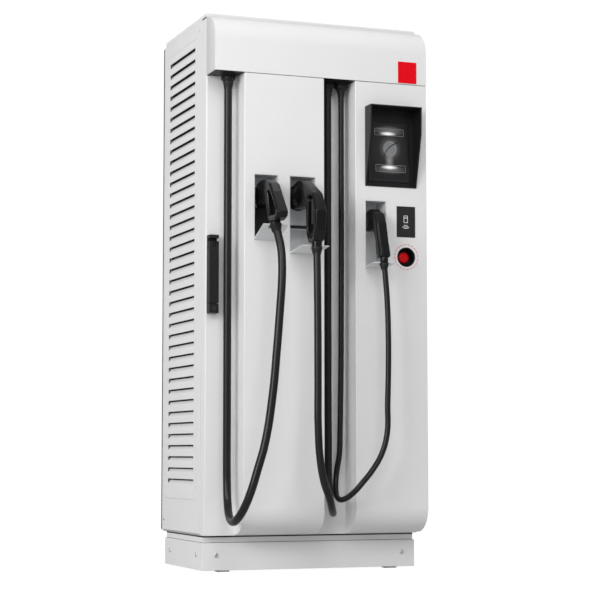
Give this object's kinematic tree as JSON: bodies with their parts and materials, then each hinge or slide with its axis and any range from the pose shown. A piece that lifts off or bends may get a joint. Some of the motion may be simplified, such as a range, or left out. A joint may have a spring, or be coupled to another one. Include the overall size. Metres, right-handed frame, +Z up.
{
  "type": "ev fast charging cabinet",
  "caption": "Free-standing charging cabinet with holstered plugs on hanging cables, hooded display, recessed stop button, hinged front and rear doors and louvred sides.",
  "frame": {"origin": "on the floor, at the centre of the four anchor holes", "axes": "+X to the right seen from the front, -Y to the front, +Z up"},
  "size_m": [0.821, 0.8315, 1.956],
  "materials": {
    "white_powder_coat": "satin fine-texture powder coat",
    "zinc_plated_steel": "satin zinc plate",
    "brushed_holster_steel": "fine satin",
    "filter_fleece": "matte fleece",
    "module_aluminium": "satin",
    "black_polyamide": "fine moulded grain",
    "grey_breaker_plastic": "matte",
    "red_plastic": "satin",
    "gasket_rubber": "matte foam",
    "cable_rubber": "satin",
    "connector_plastic": "satin moulded",
    "screen_glass": "gloss",
    "reader_gloss": "gloss"
  },
  "bodies": {
    "cabinet": {"anchor_pads": "zinc_plated_steel", "plinth_rails": "white_powder_coat", "plinth_skirts": "white_powder_coat", "case_bolts": "zinc_plated_steel", "base_plate": "zinc_plated_steel", "gland_plate": "zinc_plated_steel", "corner_posts": "white_powder_coat", "roof_rails": "white_powder_coat", "left_side_frame": "white_powder_coat", "right_side_frame": "white_powder_coat", "left_louvre_panel": "white_powder_coat", "right_louvre_panel": "white_powder_coat", "filter_mats": "filter_fleece", "roof_cap": "white_powder_coat", "module_rack": "zinc_plated_steel", "power_modules": "module_aluminium", "mounting_plate": "zinc_plated_steel", "din_rails": "zinc_plated_steel", "contactors": "black_polyamide", "circuit_breakers": "grey_breaker_plastic", "control_unit": "grey_breaker_plastic", "isolator_body": "black_polyamide", "fan_housings": "black_polyamide", "door_gaskets": "gasket_rubber", "fixed_hinge_leaves": "zinc_plated_steel", "hinge_pins": "zinc_plated_steel"},
    "isolator_handle": {"isolator_knob": "red_plastic"},
    "upper_fan": {"upper_fan_rotor": "black_polyamide"},
    "lower_fan": {"lower_fan_rotor": "black_polyamide"},
    "front_door": {"door_leaf": "white_powder_coat", "door_hinge_leaves": "zinc_plated_steel", "left_cover": "white_powder_coat", "right_cover": "white_powder_coat", "fascia": "white_powder_coat", "badge": "red_plastic", "cable_glands": "black_polyamide", "ccs_holster": "brushed_holster_steel", "chademo_holster": "brushed_holster_steel", "type2_holster": "brushed_holster_steel", "display_hood": "black_polyamide", "display_screen": "screen_glass", "card_reader": "reader_gloss", "stop_ring": "red_plastic", "stop_housing": "black_polyamide", "handle_base": "black_polyamide", "ccs_connector": "connector_plastic", "chademo_connector": "connector_plastic", "type2_connector": "connector_plastic", "ccs_cable": "cable_rubber", "chademo_cable": "cable_rubber", "type2_cable": "cable_rubber"},
    "stop_plunger": {"stop_stem": "zinc_plated_steel"},
    "stop_button": {"stop_cap": "red_plastic"},
    "swing_hub": {"handle_hub": "zinc_plated_steel"},
    "swing_lever": {"handle_lever": "black_polyamide"},
    "key_cylinder": {"lock_cylinder": "zinc_plated_steel"},
    "upper_rod": {"upper_lock_rod": "zinc_plated_steel"},
    "lower_rod": {"lower_lock_rod": "zinc_plated_steel"},
    "trigger": {"chademo_trigger": "connector_plastic"},
    "service_door": {"rear_door": "white_powder_coat"}
  },
  "joints": [
    {"name": "front_door_hinge", "type": "hinge", "parent": "cabinet", "child": "front_door", "pos_m": [0.41, -0.2005, 1.033], "axis": [0, 0, 1], "range_deg": [0, 110]},
    {"name": "service_door_hinge", "type": "hinge", "parent": "cabinet", "child": "service_door", "pos_m": [0.41, 0.2535, 1.033], "axis": [0, 0, -1], "range_deg": [0, 110]},
    {"name": "isolator_turn", "type": "hinge", "parent": "cabinet", "child": "isolator_handle", "pos_m": [0.23, 0.1195, 1.48], "axis": [0, 1, 0], "range_deg": [0, 90]},
    {"name": "upper_fan_spin", "type": "hinge", "parent": "cabinet", "child": "upper_fan", "pos_m": [0.373, 0.027, 1.71], "axis": [1, 0, 0], "continuous": true},
    {"name": "lower_fan_spin", "type": "hinge", "parent": "cabinet", "child": "lower_fan", "pos_m": [0.373, 0.027, 1.5], "axis": [1, 0, 0], "continuous": true},
    {"name": "stop_press", "type": "slide", "parent": "front_door", "child": "stop_plunger", "axis": [0, 1, 0], "range_m": [0, 0.005]},
    {"name": "stop_twist", "type": "hinge", "parent": "stop_plunger", "child": "stop_button", "pos_m": [0.319, -0.325, 1.108], "axis": [0, 1, 0], "range_deg": [0, 45]},
    {"name": "handle_swing", "type": "hinge", "parent": "front_door", "child": "swing_hub", "pos_m": [-0.379, -0.2725, 1.136], "axis": [0, 1, 0], "range_deg": [0, 90]},
    {"name": "handle_lift", "type": "hinge", "parent": "swing_hub", "child": "swing_lever", "pos_m": [-0.379, -0.276, 1.136], "axis": [-1, 0, 0], "range_deg": [0, 20]},
    {"name": "key_turn", "type": "hinge", "parent": "front_door", "child": "key_cylinder", "pos_m": [-0.379, -0.2725, 0.911], "axis": [0, 1, 0], "range_deg": [0, 90]},
    {"name": "upper_rod_slide", "type": "slide", "parent": "front_door", "child": "upper_rod", "axis": [0, 0, -1], "range_m": [0, 0.017]},
    {"name": "lower_rod_slide", "type": "slide", "parent": "front_door", "child": "lower_rod", "axis": [0, 0, 1], "range_m": [0, 0.017]},
    {"name": "trigger_pull", "type": "hinge", "parent": "front_door", "child": "trigger", "pos_m": [-0.0765, -0.4555, 1.278], "axis": [1, 0, 0], "range_deg": [0, 5], "stiffness_Nm_per_rad": 2}
  ],
  "couplings": [
    {"joint": "upper_rod_slide", "follows": "handle_swing", "m_per_rad": 0.0108},
    {"joint": "lower_rod_slide", "follows": "handle_swing", "m_per_rad": 0.0108}
  ]
}
